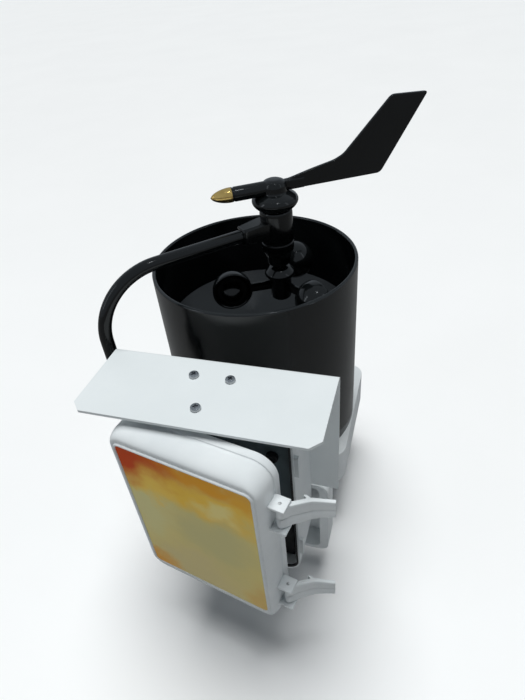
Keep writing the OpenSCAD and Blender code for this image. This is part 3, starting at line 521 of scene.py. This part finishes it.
# ---- anemometer arm ----
# A black coated tube leaves the head level, bends down outside the collector and ends in a
# clamp that two screws hold to the hood's back plate.

give(black_gloss, "anemometer_arm")
give(black_matt, "arm_clamp")

# ---- head ----
# Two black mouldings on the arm's end: the neck that carries the vane with the direction
# sensor inside, and under it the cup rotor's bearing housing.

axis = Vector(next(j for j in frame["joints"] if j["name"] == "vane_spin")["pos_m"])
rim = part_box("collector_bucket")[1].z / mm
head_place = Matrix.Translation(Vector((axis.x, axis.y, rim * mm)))


def eased(points, radius, steps=4):
    """The same outline with every inner corner rounded, as far as its sides allow"""
    points = [Vector(p) for p in points]
    out = [points[0]]
    for before, corner, after in zip(points, points[1:], points[2:]):
        reach = min(radius, (before - corner).length * 0.45, (after - corner).length * 0.45)
        start = corner + (before - corner).normalized() * reach
        stop = corner + (after - corner).normalized() * reach
        for i in range(steps + 1):
            t = i / steps
            out.append(start.lerp(corner, t).lerp(corner.lerp(stop, t), t))
    return out + [points[-1]]


def turned(bm, outline, place, count=72):
    """Solid turned from an outline of (radius, height) in mm"""
    skin(bm, [circle(r, z, place, count) for r, z in outline], caps=False)


neck_r, split = 13, 16
bm = bmesh.new()
turned(bm, eased([(0, split), (neck_r, split), (neck_r, 40.6), (neck_r - 0.6, 43), (10, 43),
                  (9.6, 42.4), (0, 42.4)], 1.2), head_place)
arm_angle, arm_z = 225, 29
arm_place = head_place @ Matrix.Rotation(radians(arm_angle), 4, "Z") @ \
    Matrix.Translation((0, 0, arm_z * mm)) @ Matrix.Rotation(radians(90), 4, "Y")


def chamfered(half, tall, cut, out):
    """Eight-cornered ring across the arm, out from the head's axis"""
    points = []
    for sx, sy, first in ((1, 1, 0), (-1, 1, 1), (-1, -1, 0), (1, -1, 1)):
        pair = [(sx * tall, sy * (half - cut)), (sx * (tall - cut), sy * half)]
        points += pair[::-1] if first else pair
    return [arm_place @ (Vector((x, y, out)) * mm) for x, y in points]


skin(bm, [chamfered(7.5, 7.7, 1.4, 6), chamfered(7.5, 7.7, 1.4, 14), chamfered(7.2, 7.4, 1.5, 18),
          chamfered(6.3, 6.4, 1.7, 29.6), chamfered(5.9, 6.0, 1.8, 30.4), chamfered(6.4, 6.5, 1.8, 30.8),
          chamfered(6.4, 6.5, 1.8, 31.5), chamfered(5.9, 6.0, 1.8, 32)])
piece("head_neck", bm, black_gloss, "root", ["anemometer_head"])

bm = bmesh.new()
turned(bm, eased([(0, -5), (8, -5), (9.5, -3), (10.5, 4), (neck_r, 9), (neck_r, split - 0.6),
                  (neck_r - 0.6, split - 0.3), (neck_r - 0.6, split), (0, split)], 0.9), head_place)
piece("head_bearing_housing", bm, black_gloss, "root", ["head_lower"])

sensor_blue = finish("sensor_blue", [(0.02, 0.04, 0.10), (0.03, 0.06, 0.15)],
                     8, 0.4, 0.010, (0.3, 0.5))
give(sensor_blue, "direction_sensor")
give(board_green, "speed_switch")
give(brass, "head_bushes")

# ---- wind vane ----
# A black moulded hub and boom turn on a steel shaft. A turned brass nose balances the
# swept fin, a flat moulding with rounded edges that grows out of the boom.

vane_angle, boom_z, boom_r = 32, 60, 5.5
vane_place = head_place @ Matrix.Rotation(radians(vane_angle), 4, "Z")
bm = bmesh.new()
hub_foot = 44.4
turned(bm, eased([(0, hub_foot), (14.2, hub_foot), (16.4, hub_foot + 1.9), (18.0, hub_foot + 4.4),
                  (18.1, hub_foot + 6.6), (16.6, hub_foot + 9.0), (12.6, boom_z - 4.6),
                  (10.0, boom_z - 3.6), (9.6, boom_z - 2.4),
                  (9.6, boom_z + 1.4), (8.2, boom_z + 4.6), (4.8, boom_z + 6.1), (0, boom_z + 6.4)],
                 1.1), vane_place)
piece("vane_hub_moulding", bm, black_gloss, "vane", ["vane_hub"])

nose_reach, nose_long = 49.5, 16
along = vane_place @ Matrix.Translation((0, 0, boom_z * mm)) @ Matrix.Rotation(radians(-90), 4, "Y")
bm = bmesh.new()
seat = nose_reach - nose_long
turned(bm, eased([(0, 4), (boom_r, 4), (boom_r, seat - 2.2), (boom_r - 0.5, seat - 1.8),
                  (boom_r - 0.5, seat - 1.2), (boom_r, seat - 0.8), (boom_r, seat), (0, seat)],
                 0.3, 3), along)
piece("vane_boom_moulding", bm, black_gloss, "vane", ["vane_boom"])

bm = bmesh.new()
outline = [(0, seat), (boom_r - 0.1, seat), (boom_r + 0.05, seat + 0.3)]
outline += [((boom_r + 0.08) * (1 - (i / 14) ** 2) ** 0.62, seat + 0.3 + (nose_long - 0.4) * i / 14)
            for i in range(1, 14)]
outline += [(0, nose_reach)]
turned(bm, outline, along)
piece("vane_nose_weight", bm, brass, "vane", ["vane_nose"])

fin_reach, fin_rise, fin_thick = 122, 52, 2.6
low_z, high_z = boom_z - 3.8, boom_z + fin_rise
side = [(9.0, low_z), (fin_reach * 0.70, low_z), (fin_reach * 0.722, low_z + 1.6),
        (fin_reach, high_z - 1.4), (fin_reach * 0.762, high_z), (fin_reach * 0.46, boom_z + 15.6),
        (fin_reach * 0.40, boom_z + 12.4), (fin_reach * 0.245, boom_z + 8.8),
        (fin_reach * 0.107, boom_z + 5), (9.0, boom_z + 4.4)]
corners = [Vector(p) for p in side]
corners = eased([corners[-1]] + corners + [corners[0]], 3.0)[1:-1]
bm = bmesh.new()
rings = []
for across, shrink in ((-1.0, 1.0), (-0.92, 0.35), (-0.6, 0), (0.6, 0), (0.92, 0.35), (1.0, 1.0)):
    ring = []
    for i, p in enumerate(corners):
        run = corners[(i + 1) % len(corners)] - corners[i - 1]
        inward = Vector((-run.y, run.x)).normalized()
        q = p + inward * shrink
        ring.append(vane_place @ (Vector((q.x, across * fin_thick / 2, q.y)) * mm))
    rings.append(ring)
skin(bm, rings)
block(bm, (7.5, -2.6, low_z), (24, 2.6, boom_z + 4.4), vane_place, 1.1)
piece("vane_swept_fin", bm, black_gloss, "vane", ["vane_fin"], sharp=30)
give(steel, "vane_shaft")

# ---- cup rotor ----
# Three thin black half-globe cups with beaded rims stand on flat arms from a waisted hub,
# which turns on its own steel shaft under the head.

cup_r, cup_arm, cup_drop, cup_wall = 17, 42, 24, 1.3
first_cup, cups = -153, 3
spoke_half, spoke_tall = 1.3, 4.1
hub_z = -cup_drop - 14
cap_z = -8
bm = bmesh.new()
turned(bm, eased([(0, hub_z), (6.5, hub_z), (8.6, hub_z + 2), (9.3, -cup_drop), (9.3, cap_z - 9),
                  (12, cap_z - 8), (13, cap_z - 6), (12.4, cap_z - 4), (8.4, cap_z), (0, cap_z)],
                 1.0), head_place)
piece("cup_rotor_hub", bm, black_gloss, "cup_rotor", ["cup_hub"])

shell = [(cup_r * sin(radians(a)), -cup_r * cos(radians(a))) for a in range(0, 91, 6)]
shell += [(cup_r, 1.2), (cup_r, 2.2), (cup_r - 0.4, 2.8), (cup_r - 1.0, 3.0), (cup_r - 1.6, 2.8),
          (cup_r - 2.0, 2.2), (cup_r - 1.7, 1.6)]
shell += [((cup_r - cup_wall) * sin(radians(a)), -(cup_r - cup_wall) * cos(radians(a)))
          for a in range(86, -1, -6)]
for i in range(cups):
    place = head_place @ Matrix.Rotation(radians(first_cup + 360 * i / cups), 4, "Z")
    bm = bmesh.new()
    cup_place = place @ Matrix.Translation(Vector((cup_arm, 0, -cup_drop)) * mm) @ \
        Matrix.Rotation(radians(-90), 4, "X")
    turned(bm, shell, cup_place)
    block(bm, (8.6, -spoke_half, -cup_drop - spoke_tall),
          (cup_arm - cup_r + 0.8, spoke_half, -cup_drop + spoke_tall), place, 0.6)
    piece(f"wind_cup_{i + 1}", bm, black_gloss, "cup_rotor", [f"cup_{i + 1}"])
give(steel, "cup_shaft")

# ---- floor, light and camera ----
# A plain pale floor, dimmer for bounced and mirrored light, stands at the foot of the socket.
# One broad soft light hangs overhead, with a panel at each side, a small lamp for sparkle and a
# faint sky. The camera looks down from above and to the right of the door.

bm = bmesh.new()
span, foot = 30, cad_box[0].z
skin(bm, [[Vector((sx * span, sy * span, z)) for sx, sy in ((1, 1), (-1, 1), (-1, -1), (1, -1))]
          for z in (foot - 0.02, foot)])
mesh = bpy.data.meshes.new("pale_floor")
bm.to_mesh(mesh)
bm.free()
floor = bpy.data.objects.new("pale_floor", mesh)
bpy.context.scene.collection.objects.link(floor)
pale = finish("pale_floor", [(0.93, 0.93, 0.93), (0.95, 0.95, 0.95)], 400, 6, 0.02, (0.7, 0.8))
add, wire = pale.node_tree.nodes.new, pale.node_tree.links.new
tint = pale.node_tree.nodes["Principled BSDF"].inputs["Base Color"]
ray = add("ShaderNodeLightPath")
dim = add("ShaderNodeMapRange")
dim.inputs["To Min"].default_value = 0.62
dim.inputs["To Max"].default_value = 0.22
wire(ray.outputs["Is Glossy Ray"], dim.inputs["Value"])
seen = add("ShaderNodeMix")
seen.data_type = "RGBA"
wire(ray.outputs["Is Camera Ray"], seen.inputs["Factor"])
wire(dim.outputs["Result"], seen.inputs["A"])
wire(tint.links[0].from_socket, seen.inputs["B"])
wire(seen.outputs["Result"], tint)
floor.data.materials.append(pale)


def light(name, kind, strength, at, towards, colour):
    """A lamp at a point in metres that looks at another"""
    lamp = bpy.data.lights.new(name, kind)
    lamp.energy = strength
    lamp.color = colour
    made = bpy.data.objects.new(name, lamp)
    made.location = at
    made.rotation_euler = (Vector(towards) - Vector(at)).to_track_quat("-Z", "Y").to_euler()
    bpy.context.scene.collection.objects.link(made)
    return lamp


light("overhead", "SUN", 2.95, (-0.1, 0.25, 2), (0, 0, 0), (0.98, 1.0, 1.0)).angle = radians(36)
bpy.data.objects["overhead"].visible_glossy = False
left_panel = light("left_panel", "AREA", 1.2, (-1.1, -0.9, 0.9), (0, -0.05, 0.15), (0.86, 0.94, 1.0))
left_panel.shape, left_panel.size, left_panel.size_y = "RECTANGLE", 0.16, 0.9
right_panel = light("right_panel", "AREA", 0.4, (1.2, -0.2, 1.0), (0, 0, 0.15), (0.84, 0.93, 1.0))
right_panel.shape, right_panel.size, right_panel.size_y = "RECTANGLE", 0.10, 0.8
spark = light("spark", "AREA", 0.5, (0.25, -0.25, 1.3), (0, 0, 0.2), (0.90, 0.96, 1.0))
spark.shape, spark.size = "DISK", 0.11

world = bpy.data.worlds.new("studio")
world.use_nodes = True
add, wire = world.node_tree.nodes.new, world.node_tree.links.new
sky = world.node_tree.nodes["Background"].inputs
sky["Color"].default_value = (0.80, 0.90, 1.0, 1)
ray = add("ShaderNodeLightPath")
level = add("ShaderNodeMapRange")
level.inputs["To Min"].default_value = 0.05
level.inputs["To Max"].default_value = 0.90
wire(ray.outputs["Is Camera Ray"], level.inputs["Value"])
glow = add("ShaderNodeMath")
glow.operation = "MULTIPLY_ADD"
glow.inputs[1].default_value = 0.45
wire(ray.outputs["Is Glossy Ray"], glow.inputs[0])
wire(level.outputs["Result"], glow.inputs[2])
wire(glow.outputs["Value"], sky["Strength"])
bpy.context.scene.world = world
bpy.context.scene.view_settings.view_transform = "Standard"

eye = Vector((131.5, -364.2, 445.9)) * mm
ahead = Vector((-0.2694, 0.7385, -0.6181)).normalized()
level_right = Vector((0.956, 0.280, -0.082))
right = (level_right - ahead * level_right.dot(ahead)).normalized()
up = right.cross(ahead)
lens = bpy.data.cameras.new("camera")
lens.lens = 26.44
lens.clip_start = 0.01
camera = bpy.data.objects.new("camera", lens)
camera.matrix_world = Matrix.Translation(eye) @ Matrix((right, up, -ahead)).transposed().to_4x4()
bpy.context.scene.collection.objects.link(camera)
bpy.context.scene.camera = camera
